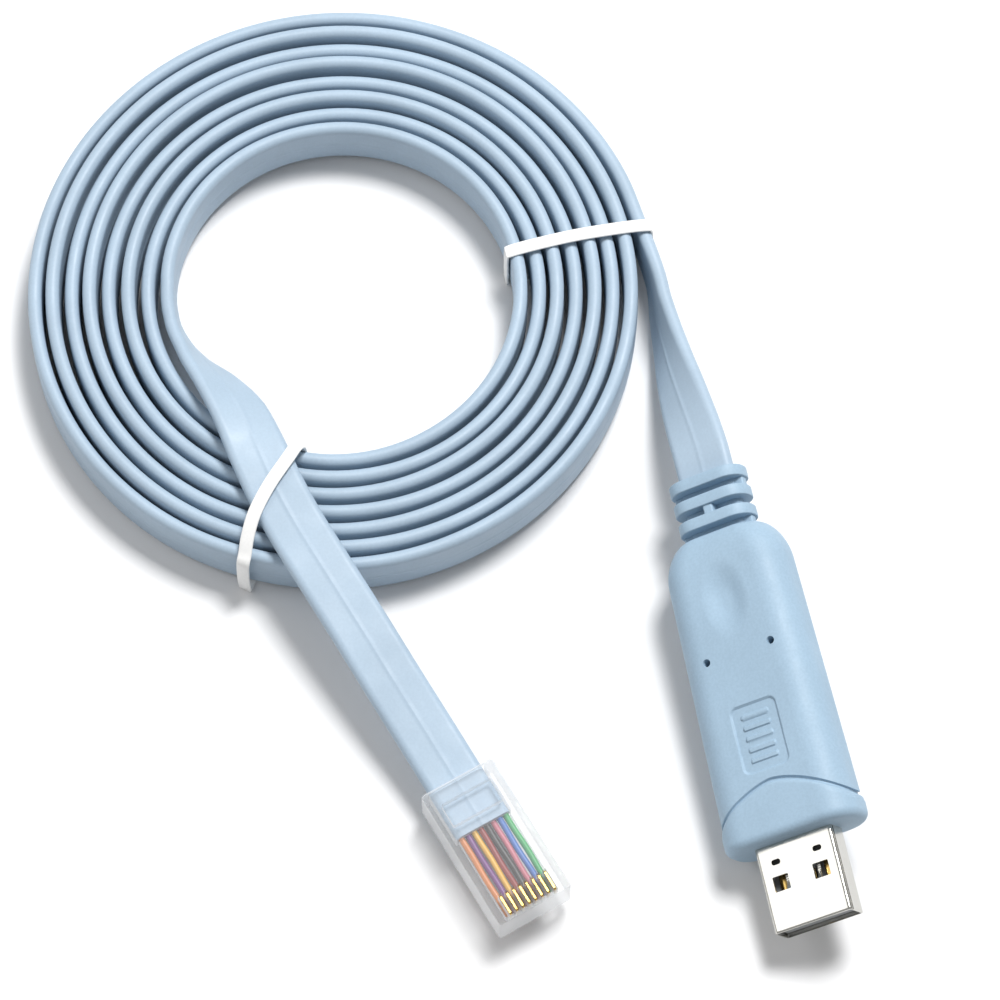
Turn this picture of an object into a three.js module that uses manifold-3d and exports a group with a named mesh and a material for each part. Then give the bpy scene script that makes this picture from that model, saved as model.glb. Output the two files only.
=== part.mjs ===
// A flat console cable: a coil of eight-core flat cord with a moulded USB plug on one end and a clear
// eight-way modular plug on the other. Millimetres, +Z up, standing on the plane z = 0.
import * as THREE from "three";
import { mergeVertices } from "three/addons/utils/BufferGeometryUtils.js";
import Module from "manifold-3d";

// The flat cord and its coil. The cord stands on its edge in the coil, which rests on the two bands.
const CORD_WIDTH = 8.6;
const CORD_THICKNESS = 2.0;
const TURN_PITCH = 2.68;
const TURNS = 7;
const COIL_BORE_RADIUS = 26.2;
const GROOVE_DEPTH = 1.0;
const GROOVE_WIDTH = 0.9;
const COIL_SEGMENTS = 56;

// The two white bands round the coil.
const BAND_WIDTH = 1.6;
const BAND_THICKNESS = 0.45;
const BAND_CORNER = 0.4;

// Clearance between pieces that touch on the real cable, and the finer one inside the plugs.
const SEAT_GAP = 0.3;
const FINE_GAP = 0.15;

// The moulded USB plug: a handle with a wavy collar in front and a ringed strain relief behind.
const HANDLE_LENGTH = 46;
const HANDLE_FRONT_WIDTH = 21;
const HANDLE_REAR_WIDTH = 18.6;
const HANDLE_THICKNESS = 10;
const HANDLE_CORNER = 3.2;
const SHOULDER_LENGTH = 6;
const COLLAR_RISE = 0.35;
const RELIEF_WIDTH = 12.4;
const RELIEF_THICKNESS = 6.8;
const RELIEF_CORNER = 1.7;
const RELIEF_RINGS = 3;
const RELIEF_RING_LENGTH = 1.7;
const RELIEF_SLOT_LENGTH = 1.3;
const RELIEF_BRIDGE_WIDTH = 1.5;
const RELIEF_CORE_WALL = 0.7;

// Marks on the handle's upper face, placed from the handle's front end.
const PLAQUE_WIDTH = 7;
const PLAQUE_LENGTH = 9.8;
const PLAQUE_CORNER = 1;
const PLAQUE_DEPTH = 0.35;
const PLAQUE_CENTRE = 14.7;
const PLAQUE_BARS = 5;
const PLAQUE_BAR_LENGTH = 4.2;
const PLAQUE_BAR_WIDTH = 0.7;
const PLAQUE_BAR_PITCH = 1.6;
const PIN_HOLE_DIAMETER = 1.1;
const PIN_HOLE_DEPTH = 2;
const PIN_HOLE_OFFSET = 5.05;
const PIN_HOLE_PLACE = 27.3;
const DIMPLE_WIDTH = 6.8;
const DIMPLE_LENGTH = 11.5;
const DIMPLE_DEPTH = 0.7;
const DIMPLE_PLACE = 35.4;

// The steel shell of the USB plug, its insulating tongue and its four contacts.
const SHELL_WIDTH = 12;
const SHELL_HEIGHT = 4.5;
const SHELL_WALL = 0.3;
const SHELL_CORNER = 0.6;
const SHELL_LENGTH = 12.4;
const WINDOW_WIDTH = 2.4;
const WINDOW_LENGTH = 2.2;
const WINDOW_OFFSET = 3.1;
const WINDOW_PLACE = 5.7;
const SLOT_WIDTH = 1.35;
const SLOT_LENGTH = 0.8;
const SLOT_OFFSET = 3.2;
const SLOT_PLACE = 2.6;
const TONGUE_THICKNESS = 1.9;
const TONGUE_SETBACK = 0.6;
const USB_CONTACT_WIDTH = 1.0;
const USB_CONTACT_THICKNESS = 0.2;
const USB_CONTACTS = [
  { offset: -3.5, length: 7.4 },
  { offset: -1.0, length: 6.4 },
  { offset: 1.0, length: 6.4 },
  { offset: 3.5, length: 7.4 },
];

// The clear modular plug, measured from the middle of its cord entry.
const PLUG_WIDTH = 11.68;
const PLUG_LENGTH = 22;
const PLUG_ABOVE_CORD = 3.0;
const PLUG_BELOW_CORD = 3.6;
const PLUG_EDGE = 0.5;
const CORD_IN_PLUG = 7.5;
const WIRES = ["orange", "violet", "yellow", "brown", "grey", "pink", "blue", "green"];
const WIRE_DIAMETER = 0.9;
const WIRE_PITCH = 1.02;
const WIRE_FRONT_WALL = 1.5;
const BLADE_THICKNESS = 0.3;
const BLADE_LENGTH = 3.1;
const BLADE_HEIGHT = 2.0;
const BLADE_FRONT_WALL = 0.7;
const BLADE_SINK = 0.3;
const GRIP_WIDTH = 8;
const GRIP_LENGTH = 3.6;
const GRIP_DEPTH = 1.3;
const GRIP_PLACE = 4.4;
const LATCH_WIDTH = 6.2;
const LATCH_THICKNESS = 1.0;
const LATCH_DROP = 2.2;
const LATCH_ROOT = 3;
const LATCH_END = 1.5;

// Where each free end of the cord runs, from the coil to its plug, with the turn of the cord about its
// own line: 0 degrees stands on edge and 90 lies flat. The coil's middle is x = 0, y = 0.
const RJ45_LEAD_ROUTE = [
  { at: [-24.9, 0.5, 5.05], turn: 0 },
  { at: [-23.9, -5.0, 5.4], turn: 6 },
  { at: [-21.0, -10.2, 6.6], turn: 22 },
  { at: [-17.3, -15.2, 8.6], turn: 45 },
  { at: [-13.9, -20.7, 10.3], turn: 68 },
  { at: [-11.2, -26.8, 10.9], turn: 85 },
  { at: [-8.6, -32.6, 10.9], turn: 90 },
  { at: [-5.4, -38.8, 10.9], turn: 90 },
  { at: [-0.8, -46.4, 10.5], turn: 90 },
  { at: [4.2, -54.4, 9.5], turn: 90 },
  { at: [9.2, -62.4, 8.0], turn: 90 },
  { at: [13.8, -69.6, 6.5], turn: 90 },
  { at: [17.7, -76.0, 5.8], turn: 90 },
];
const USB_LEAD_ROUTE = [
  { at: [45.9, 8.2, 5.05], turn: 0 },
  { at: [46.6, 3.5, 5.1], turn: 3 },
  { at: [47.4, -2.0, 5.5], turn: 10 },
  { at: [48.4, -7.6, 6.2], turn: 20 },
  { at: [49.4, -13.0, 7.3], turn: 33 },
  { at: [50.5, -18.3, 9.0], turn: 46 },
  { at: [51.7, -23.6, 10.6], turn: 57 },
  { at: [52.72, -27.9, 11.48], turn: 62 },
  { at: [53.5, -31.4, 11.33], turn: 62 },
];
const RJ45_LEAD_STEPS = 30;
const USB_LEAD_STEPS = 12;

// How each plug lies: heading about +Z, nose down, and roll about its own length, in degrees.
const USB_POSE = { heading: 12.5, dip: 2.9, roll: 27.9 };
const RJ45_POSE = { heading: 30.4, dip: 0, roll: 0 };

// The bands' middle lines over the coil, from the bore outwards.
const UPPER_BAND = { bearing: 14, skew: 0 };
const LOWER_BAND = { bearing: -101, skew: -12 };

const wasm = await Module();
wasm.setup();

// A closed three.js geometry as a solid that can be joined and cut.
function solid(geometry) {
  const bare = geometry.clone();
  bare.deleteAttribute("normal");
  bare.deleteAttribute("uv");
  const merged = mergeVertices(bare, 1e-4);
  return new wasm.Manifold(
    new wasm.Mesh({
      numProp: 3,
      vertProperties: merged.attributes.position.array,
      triVerts: new Uint32Array(merged.index.array),
    }),
  );
}

// A solid back as a three.js geometry.
function geometryOf(manifold) {
  const made = manifold.getMesh();
  const geometry = new THREE.BufferGeometry();
  geometry.setAttribute("position", new THREE.BufferAttribute(made.vertProperties, 3));
  geometry.setIndex(new THREE.BufferAttribute(made.triVerts, 1));
  geometry.computeVertexNormals();
  return geometry;
}

function piece(name, geometry, material) {
  const mesh = new THREE.Mesh(geometry, material);
  mesh.name = name;
  return mesh;
}

function box(width, length, height, x, y, z) {
  return solid(new THREE.BoxGeometry(width, length, height).translate(x, y, z));
}

// A rectangle with round corners, about the middle of its plane.
function roundedRectangle(width, height, corner, path = new THREE.Shape()) {
  const radius = Math.min(corner, 0.49 * width, 0.49 * height);
  const x = width / 2 - radius;
  const y = height / 2 - radius;
  path.absarc(x, y, radius, 0, Math.PI / 2);
  path.absarc(-x, y, radius, Math.PI / 2, Math.PI);
  path.absarc(-x, -y, radius, Math.PI, 1.5 * Math.PI);
  path.absarc(x, -y, radius, 1.5 * Math.PI, 2 * Math.PI);
  return path;
}

// A section in its own plane, run along a line: place gives each corner's position from its two
// coordinates in the section and its share of the length.
function swept(section, steps, curveSegments, place) {
  const geometry = new THREE.ExtrudeGeometry(section, {
    depth: 1,
    steps,
    curveSegments,
    bevelEnabled: false,
  });
  const position = geometry.attributes.position;
  for (let i = 0; i < position.count; i++) {
    const moved = place(position.getX(i), position.getY(i), position.getZ(i));
    position.setXYZ(i, moved.x, moved.y, moved.z);
  }
  geometry.computeVertexNormals();
  return geometry;
}

// A section that stands across the Y axis and runs from y = from to y = to, which is the smaller.
function alongY(section, from, to, curveSegments = 4) {
  return solid(
    swept(section, 1, curveSegments, (x, z, share) => {
      return new THREE.Vector3(x, from + (to - from) * share, z);
    }),
  );
}

// An outline in the X and Y plane, run up from z = low to z = high.
function standing(outline, low, high, curveSegments = 6) {
  const settings = { depth: high - low, curveSegments, bevelEnabled: false };
  return solid(new THREE.ExtrudeGeometry(outline, settings).translate(0, 0, low));
}

// The cord's own section: flat faces across its thickness and round edges.
function cordSection() {
  return roundedRectangle(CORD_WIDTH, CORD_THICKNESS, CORD_THICKNESS / 2);
}

// A stretch of cord along a route. side is +1 where the cord's upper edge leans to the left of its
// run as it lies down, and -1 where it leans to the right.
function lead(route, steps, side) {
  const line = new THREE.CatmullRomCurve3(route.map((stop) => new THREE.Vector3(...stop.at)));
  const up = new THREE.Vector3(0, 0, 1);
  const last = route.length - 1;
  return swept(cordSection(), steps, 3, (x, y, share) => {
    const run = line.getTangent(share);
    const left = new THREE.Vector3().crossVectors(up, run).normalize();
    const above = new THREE.Vector3().crossVectors(run, left).normalize();
    const stop = Math.min(Math.floor(share * last), last - 1);
    const between = share * last - stop;
    const turn = THREE.MathUtils.lerp(route[stop].turn, route[stop + 1].turn, between);
    const lean = THREE.MathUtils.degToRad(turn) * side;
    const across = above.clone().multiplyScalar(Math.cos(lean)).addScaledVector(left, Math.sin(lean));
    const face = new THREE.Vector3().crossVectors(run, across);
    return line.getPoint(share).addScaledVector(across, x).addScaledVector(face, y);
  });
}

const jacket = new THREE.MeshStandardMaterial({ color: 0x9fbbd2, roughness: 0.55 });
const overmould = new THREE.MeshStandardMaterial({ color: 0x93b3c6, roughness: 0.6 });
const bandWhite = new THREE.MeshStandardMaterial({ color: 0xf2f2f0, roughness: 0.5 });
const nickel = new THREE.MeshStandardMaterial({ color: 0xd8d5cd, roughness: 0.2, metalness: 1 });
const insulator = new THREE.MeshStandardMaterial({ color: 0x8d8f92, roughness: 0.6 });
const gold = new THREE.MeshStandardMaterial({ color: 0xd9b65c, roughness: 0.25, metalness: 1 });
const clearPlastic = new THREE.MeshStandardMaterial({
  color: 0xeef3f6,
  roughness: 0.08,
  transparent: true,
  opacity: 0.35,
});
const WIRE_COLOURS = {
  orange: 0xd98a4a,
  violet: 0x8b4b93,
  yellow: 0xe8bf3c,
  brown: 0x9a4433,
  grey: 0x5d5552,
  pink: 0xcf8f98,
  blue: 0x4f86c6,
  green: 0x58b26f,
};

const coilBottom = BAND_THICKNESS + SEAT_GAP;
const coilTop = coilBottom + CORD_WIDTH;
const coilOuterRadius = COIL_BORE_RADIUS + TURNS * TURN_PITCH;

// The coil: a turned ring whose ends carry one groove between each pair of turns.
function coil() {
  const crest = (TURN_PITCH - GROOVE_WIDTH) / 2;
  const top = [];
  const bottom = [];
  for (let turn = 0; turn < TURNS; turn++) {
    const middle = COIL_BORE_RADIUS + (turn + 0.5) * TURN_PITCH;
    const inner = turn === 0 ? COIL_BORE_RADIUS : middle - crest;
    const outer = turn === TURNS - 1 ? coilOuterRadius : middle + crest;
    for (const radius of [inner, outer]) {
      top.push(new THREE.Vector2(radius, coilTop));
      bottom.push(new THREE.Vector2(radius, coilBottom));
    }
    if (turn < TURNS - 1) {
      const groove = middle + TURN_PITCH / 2;
      top.push(new THREE.Vector2(groove, coilTop - GROOVE_DEPTH));
      bottom.push(new THREE.Vector2(groove, coilBottom + GROOVE_DEPTH));
    }
  }
  const profile = [...bottom, ...top.reverse()];
  profile.push(profile[0].clone());
  return new THREE.LatheGeometry(profile, COIL_SEGMENTS).rotateX(Math.PI / 2);
}

// A band round the coil's section: outline is drawn with its run outwards as x and height as y.
function band(outline, { bearing, skew }, start) {
  const hole = new THREE.Path(outline(0));
  const loop = new THREE.Shape(outline(BAND_THICKNESS));
  loop.holes.push(hole);
  const settings = { depth: BAND_WIDTH, bevelEnabled: false };
  const geometry = new THREE.ExtrudeGeometry(loop, settings).translate(0, 0, -BAND_WIDTH / 2);
  geometry.rotateX(Math.PI / 2);
  geometry.rotateZ(THREE.MathUtils.degToRad(bearing + skew));
  const seat = THREE.MathUtils.degToRad(bearing);
  return geometry.translate(start * Math.cos(seat), start * Math.sin(seat), 0);
}

// The corners of a band's loop, taken clockwise from the bore at the floor, offset outwards by grown.
function bandOutline(reach, bumps) {
  return (grown) => {
    const low = BAND_THICKNESS - grown;
    const edge = BAND_CORNER;
    const points = [
      [-grown, low + edge],
      [edge - grown, low],
      [reach - edge + grown, low],
      [reach + grown, low + edge],
    ];
    for (const [x, z] of bumps) points.push([x + (x >= reach ? grown : 0) - (x <= 0 ? grown : 0), z + grown]);
    return points.map(([x, z]) => new THREE.Vector2(x, z));
  };
}

const bandStart = COIL_BORE_RADIUS - SEAT_GAP;
const bandTop = coilTop + SEAT_GAP;

// The upper band goes straight across the coil.
function upperBand() {
  const reach = coilOuterRadius + SEAT_GAP - bandStart;
  const outline = bandOutline(reach, [
    [reach, bandTop - BAND_CORNER],
    [reach - BAND_CORNER, bandTop],
    [BAND_CORNER, bandTop],
    [0, bandTop - BAND_CORNER],
  ]);
  return band(outline, UPPER_BAND, bandStart);
}

// The lower band also holds down the lead to the modular plug, which crosses the coil under it.
function lowerBand() {
  const chord = THREE.MathUtils.degToRad(LOWER_BAND.skew);
  const across = bandStart * Math.cos(chord);
  const outerRadius = coilOuterRadius + SEAT_GAP + BAND_WIDTH / 2;
  const reach = Math.sqrt(outerRadius ** 2 - (bandStart * Math.sin(chord)) ** 2) - across;
  const overLead = bandTop + CORD_THICKNESS + 2 * SEAT_GAP;
  const leadFoot = reach * 0.72;
  const outline = bandOutline(reach, [
    [reach, bandTop - BAND_CORNER],
    [reach - BAND_CORNER, bandTop],
    [leadFoot, overLead],
    [BAND_CORNER, overLead],
    [0, overLead - BAND_CORNER],
  ]);
  return band(outline, LOWER_BAND, bandStart);
}

// The USB plug lies in its own group: X across, Z up out of its upper face, and its nose towards -Y.
// y = 0 is the end of the strain relief, where the cord goes in.
const reliefLength = RELIEF_RINGS * (RELIEF_RING_LENGTH + RELIEF_SLOT_LENGTH);
const handleRear = -reliefLength;
const handleFront = handleRear - HANDLE_LENGTH;

// The handle's width and thickness at a distance from its rear end: it tapers, with round shoulders.
function handleSize(distance) {
  const taper = distance / HANDLE_LENGTH;
  const width = THREE.MathUtils.lerp(HANDLE_REAR_WIDTH, HANDLE_FRONT_WIDTH, taper);
  const inShoulder = Math.max(0, 1 - distance / SHOULDER_LENGTH);
  const round = Math.sqrt(Math.max(0, 1 - inShoulder ** 2));
  return {
    width: THREE.MathUtils.lerp(RELIEF_WIDTH, width, round),
    thickness: THREE.MathUtils.lerp(RELIEF_THICKNESS, HANDLE_THICKNESS, round),
  };
}

function handle() {
  const section = roundedRectangle(HANDLE_FRONT_WIDTH, HANDLE_THICKNESS, HANDLE_CORNER);
  const steps = 12;
  const half = steps / 2;
  const shape = swept(section, steps, 4, (x, z, share) => {
    const step = share * steps;
    const shoulder = SHOULDER_LENGTH * (1 - Math.cos((Math.min(step, half) / half) * (Math.PI / 2)));
    const straight = (HANDLE_LENGTH - SHOULDER_LENGTH) * (Math.max(0, step - half) / half);
    const distance = shoulder + straight;
    const { width, thickness } = handleSize(distance);
    const y = handleRear - distance;
    return new THREE.Vector3((x * width) / HANDLE_FRONT_WIDTH, y, (z * thickness) / HANDLE_THICKNESS);
  });
  return solid(shape);
}

// The collar at the handle's front end. Its rear edge is a wave that reaches furthest back in the middle.
function collar() {
  const width = HANDLE_FRONT_WIDTH + 2 * COLLAR_RISE;
  const thickness = HANDLE_THICKNESS + 2 * COLLAR_RISE;
  const half = width / 2;
  const wave = [
    [-1, 3.4],
    [-0.8, 4.2],
    [-0.56, 5.95],
    [-0.34, 7.0],
    [0, 7.8],
    [0.34, 7.0],
    [0.56, 5.95],
    [0.8, 4.2],
    [1, 3.4],
  ];
  const outline = new THREE.Shape();
  outline.moveTo(-half, handleFront);
  outline.lineTo(half, handleFront);
  const points = wave.map(([x, back]) => new THREE.Vector2(x * half, handleFront + back)).reverse();
  outline.lineTo(points[0].x, points[0].y);
  outline.splineThru(points.slice(1));
  outline.closePath();
  const slab = standing(outline, -thickness, thickness, 3);
  const longest = Math.max(...wave.map(([, back]) => back));
  const section = roundedRectangle(width, thickness, HANDLE_CORNER + COLLAR_RISE);
  return alongY(section, handleFront + longest + 1, handleFront).intersect(slab);
}

// The strain relief: rings on a core, held apart by a bridge on each face and on each edge in turn.
function relief() {
  const overlap = 1;
  const coreWidth = CORD_WIDTH + 2 * RELIEF_CORE_WALL;
  const coreThickness = CORD_THICKNESS + 2 * RELIEF_CORE_WALL;
  const core = roundedRectangle(coreWidth, coreThickness, coreThickness / 2);
  let shape = alongY(core, 0, handleRear - overlap);
  const ring = roundedRectangle(RELIEF_WIDTH, RELIEF_THICKNESS, RELIEF_CORNER);
  const pitch = RELIEF_RING_LENGTH + RELIEF_SLOT_LENGTH;
  for (let i = 0; i < RELIEF_RINGS; i++) {
    const back = -i * pitch;
    shape = shape.add(alongY(ring, back, back - RELIEF_RING_LENGTH));
    const middle = back - RELIEF_RING_LENGTH - RELIEF_SLOT_LENGTH / 2;
    const length = RELIEF_SLOT_LENGTH + 0.4;
    const across = RELIEF_WIDTH - 0.6;
    const high = RELIEF_THICKNESS - 0.6;
    const bridge =
      i % 2 === 1
        ? box(RELIEF_BRIDGE_WIDTH, length, high, 0, middle, 0)
        : box(across, length, RELIEF_BRIDGE_WIDTH, 0, middle, 0);
    shape = shape.add(bridge);
  }
  return shape;
}

function usbHousing() {
  const face = HANDLE_THICKNESS / 2;
  const cutter = 4;
  let shape = handle().add(collar()).add(relief());
  const plaqueY = handleFront + PLAQUE_CENTRE;
  const plaque = roundedRectangle(PLAQUE_WIDTH, PLAQUE_LENGTH, PLAQUE_CORNER);
  shape = shape.subtract(
    standing(plaque, face - PLAQUE_DEPTH, face + cutter).translate([0, plaqueY, 0]),
  );
  for (let i = 0; i < PLAQUE_BARS; i++) {
    const y = plaqueY + (i - (PLAQUE_BARS - 1) / 2) * PLAQUE_BAR_PITCH;
    const height = PLAQUE_DEPTH + 0.5;
    shape = shape.add(box(PLAQUE_BAR_LENGTH, PLAQUE_BAR_WIDTH, height, 0, y, face - 0.1 - height / 2));
  }
  for (const side of [-1, 1]) {
    const hole = new THREE.CylinderGeometry(PIN_HOLE_DIAMETER / 2, PIN_HOLE_DIAMETER / 2, PIN_HOLE_DEPTH, 12);
    hole.rotateX(Math.PI / 2);
    hole.translate(side * PIN_HOLE_OFFSET, handleFront + PIN_HOLE_PLACE, face);
    shape = shape.subtract(solid(hole));
  }
  // A shallow oval dimple is the cap of an ellipsoid whose centre stands above the face.
  const rise = 3 * DIMPLE_DEPTH;
  const height = rise + DIMPLE_DEPTH;
  const spread = 1 / Math.sqrt(1 - (rise / height) ** 2);
  const dimple = new THREE.SphereGeometry(1, 20, 14);
  dimple.scale((DIMPLE_WIDTH / 2) * spread, (DIMPLE_LENGTH / 2) * spread, height);
  dimple.translate(0, handleFront + DIMPLE_PLACE, face + rise);
  return geometryOf(shape.subtract(solid(dimple)));
}

function usbShell() {
  const back = handleFront - SEAT_GAP;
  const front = handleFront - SHELL_LENGTH;
  const section = roundedRectangle(SHELL_WIDTH, SHELL_HEIGHT, SHELL_CORNER);
  const inside = roundedRectangle(
    SHELL_WIDTH - 2 * SHELL_WALL,
    SHELL_HEIGHT - 2 * SHELL_WALL,
    SHELL_CORNER - SHELL_WALL,
    new THREE.Path(),
  );
  section.holes.push(inside);
  let shape = alongY(section, back, front, 3);
  for (const side of [-1, 1]) {
    const y = handleFront - WINDOW_PLACE;
    shape = shape.subtract(box(WINDOW_WIDTH, WINDOW_LENGTH, 2 * SHELL_HEIGHT, side * WINDOW_OFFSET, y, 0));
    const x = side * SLOT_OFFSET;
    const slotY = handleFront - SLOT_PLACE;
    shape = shape.subtract(box(SLOT_WIDTH, SLOT_LENGTH, SHELL_HEIGHT, x, slotY, SHELL_HEIGHT / 2));
  }
  return geometryOf(shape);
}

const shellFloor = -SHELL_HEIGHT / 2 + SHELL_WALL;
const tongueTop = shellFloor + FINE_GAP + TONGUE_THICKNESS;

function usbTongue() {
  const width = SHELL_WIDTH - 2 * SHELL_WALL - 2 * FINE_GAP;
  const back = handleFront - SEAT_GAP;
  const front = handleFront - SHELL_LENGTH + TONGUE_SETBACK;
  const length = back - front;
  const middle = (back + front) / 2;
  return new THREE.BoxGeometry(width, length, TONGUE_THICKNESS).translate(
    0,
    middle,
    tongueTop - TONGUE_THICKNESS / 2,
  );
}

function usbContact({ offset, length }) {
  const front = handleFront - SHELL_LENGTH + 2 * TONGUE_SETBACK;
  const height = tongueTop + FINE_GAP + USB_CONTACT_THICKNESS / 2;
  const strip = new THREE.BoxGeometry(USB_CONTACT_WIDTH, length, USB_CONTACT_THICKNESS);
  return strip.translate(offset, front + length / 2, height);
}

// The modular plug lies in its own group with the same axes; y = 0 is its rear face, and z = 0 the
// middle of the cord that goes in there.
function plugOutline() {
  const outline = new THREE.Shape();
  const corners = [
    [0, -PLUG_BELOW_CORD + PLUG_EDGE],
    [0, PLUG_ABOVE_CORD - PLUG_EDGE],
    [-PLUG_EDGE, PLUG_ABOVE_CORD],
    [-PLUG_LENGTH + PLUG_EDGE, PLUG_ABOVE_CORD],
    [-PLUG_LENGTH, PLUG_ABOVE_CORD - PLUG_EDGE],
    [-PLUG_LENGTH, -PLUG_BELOW_CORD + PLUG_EDGE],
    [-PLUG_LENGTH + PLUG_EDGE, -PLUG_BELOW_CORD],
    [-PLUG_EDGE, -PLUG_BELOW_CORD],
  ];
  outline.setFromPoints(corners.map(([y, z]) => new THREE.Vector2(y, z)));
  return outline;
}

// The latch springs from the front of the underside and slants back and down to a free end.
function latchOutline() {
  const rootFront = -PLUG_LENGTH + PLUG_EDGE;
  const rootBack = rootFront + LATCH_ROOT;
  const under = -PLUG_BELOW_CORD;
  const free = under - LATCH_DROP;
  const inside = under + 0.5;
  const outline = new THREE.Shape();
  const corners = [
    [rootFront, inside],
    [rootFront, under - LATCH_THICKNESS / 2],
    [rootFront + LATCH_THICKNESS, under - LATCH_THICKNESS],
    [-LATCH_END, free],
    [-LATCH_END, free + LATCH_THICKNESS],
    [rootBack, under - SEAT_GAP / 2],
    [rootBack, inside],
  ];
  outline.setFromPoints(corners.map(([y, z]) => new THREE.Vector2(y, z)));
  return outline;
}

// An outline in the Y and Z plane, run across the plug over the given width.
function acrossPlug(outline, width) {
  return solid(
    swept(outline, 1, 1, (y, z, share) => new THREE.Vector3((share - 0.5) * width, y, z)),
  );
}

const wireRowWidth = (WIRES.length - 1) * WIRE_PITCH + WIRE_DIAMETER;
const wireFront = -PLUG_LENGTH + WIRE_FRONT_WALL;
const bladeFront = -PLUG_LENGTH + BLADE_FRONT_WALL;
const bladeTop = PLUG_ABOVE_CORD - BLADE_SINK;

function wireX(index) {
  return (index - (WIRES.length - 1) / 2) * WIRE_PITCH;
}

function rj45Body() {
  let shape = acrossPlug(plugOutline(), PLUG_WIDTH).add(acrossPlug(latchOutline(), LATCH_WIDTH));
  const pocketLength = CORD_IN_PLUG + 2 * SEAT_GAP;
  const pocketWidth = CORD_WIDTH + 2 * SEAT_GAP;
  const pocketHeight = CORD_THICKNESS + 2 * SEAT_GAP;
  const runOut = 1;
  shape = shape.subtract(
    box(pocketWidth, pocketLength + runOut, pocketHeight, 0, (runOut - pocketLength) / 2, 0),
  );
  const channelLength = -wireFront + FINE_GAP;
  shape = shape.subtract(
    box(wireRowWidth + 2 * FINE_GAP, channelLength, WIRE_DIAMETER + 2 * FINE_GAP, 0, -channelLength / 2, 0),
  );
  shape = shape.subtract(
    box(GRIP_WIDTH, GRIP_LENGTH, 2 * GRIP_DEPTH, 0, -GRIP_PLACE, PLUG_ABOVE_CORD),
  );
  const slotLength = BLADE_LENGTH + 2 * FINE_GAP;
  const slotY = bladeFront + BLADE_LENGTH / 2;
  const slotFloor = bladeTop - BLADE_HEIGHT - FINE_GAP;
  const slotHeight = PLUG_ABOVE_CORD + runOut - slotFloor;
  const slotZ = slotFloor + slotHeight / 2;
  WIRES.forEach((name, i) => {
    const width = BLADE_THICKNESS + 2 * FINE_GAP;
    shape = shape.subtract(box(width, slotLength, slotHeight, wireX(i), slotY, slotZ));
  });
  return geometryOf(shape);
}

function rj45Contact(index) {
  const blade = new THREE.BoxGeometry(BLADE_THICKNESS, BLADE_LENGTH, BLADE_HEIGHT);
  return blade.translate(wireX(index), bladeFront + BLADE_LENGTH / 2, bladeTop - BLADE_HEIGHT / 2);
}

function wire(index) {
  const back = -CORD_IN_PLUG - SEAT_GAP;
  const length = back - wireFront;
  const core = new THREE.CylinderGeometry(WIRE_DIAMETER / 2, WIRE_DIAMETER / 2, length, 8);
  return core.translate(wireX(index), (back + wireFront) / 2, 0);
}

// A group that lies as a plug does, with its own origin at the end of the lead that goes into it.
function laid({ heading, dip, roll }, end) {
  const group = new THREE.Group();
  group.rotation.order = "ZXY";
  group.rotation.z = THREE.MathUtils.degToRad(heading);
  group.rotation.x = THREE.MathUtils.degToRad(dip);
  group.rotation.y = THREE.MathUtils.degToRad(-roll);
  group.position.set(...end);
  return group;
}

const usbEnd = USB_LEAD_ROUTE[USB_LEAD_ROUTE.length - 1];
const usbPlug = laid(USB_POSE, usbEnd.at);
const usbNose = new THREE.Group();
usbNose.position.y = -SEAT_GAP;
usbNose.add(piece("usb_housing", usbHousing(), overmould));
usbNose.add(piece("usb_shell", usbShell(), nickel));
usbNose.add(piece("usb_tongue", usbTongue(), insulator));
USB_CONTACTS.forEach((contact, i) => {
  usbNose.add(piece(`usb_contact_${i + 1}`, usbContact(contact), gold));
});
usbPlug.add(usbNose);

const rj45End = RJ45_LEAD_ROUTE[RJ45_LEAD_ROUTE.length - 1];
const rj45Plug = laid(RJ45_POSE, rj45End.at);
rj45Plug.add(piece("rj45_body", rj45Body(), clearPlastic));
WIRES.forEach((name, i) => {
  const colour = new THREE.MeshStandardMaterial({ color: WIRE_COLOURS[name], roughness: 0.5 });
  rj45Plug.add(piece(`rj45_contact_${i + 1}`, rj45Contact(i), gold));
  rj45Plug.add(piece(`wire_${name}`, wire(i), colour));
});

// Inside the modular plug the cord runs on, straight, to where its jacket is stripped.
const inPlug = new THREE.Vector3(0, -CORD_IN_PLUG, 0).applyEuler(rj45Plug.rotation);
const rj45Stripped = {
  at: inPlug.add(rj45Plug.position).toArray(),
  turn: rj45End.turn,
};

const assembly = new THREE.Group();
assembly.add(piece("cable_coil", coil(), jacket));
assembly.add(
  piece("cable_rj45_lead", lead([...RJ45_LEAD_ROUTE, rj45Stripped], RJ45_LEAD_STEPS, -1), jacket),
);
assembly.add(piece("cable_usb_lead", lead(USB_LEAD_ROUTE, USB_LEAD_STEPS, 1), jacket));
assembly.add(piece("tie_band_upper", upperBand(), bandWhite));
assembly.add(piece("tie_band_lower", lowerBand(), bandWhite));
assembly.add(usbPlug);
assembly.add(rj45Plug);

// The part's origin lies on the floor, under the middle of the box round the two plugs.
assembly.updateMatrixWorld(true);
const plugBox = new THREE.Box3().setFromObject(usbPlug, true);
plugBox.union(new THREE.Box3().setFromObject(rj45Plug, true));
const middle = plugBox.getCenter(new THREE.Vector3());
assembly.position.set(-middle.x, -middle.y, 0);

const cable = new THREE.Group();
cable.add(assembly);

export default cable;
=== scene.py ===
"""A flat console cable in its coil, with a moulded USB plug and a clear modular plug, on a pale floor."""
import math

import bmesh
import bpy
from mathutils import Matrix, Vector


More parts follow.
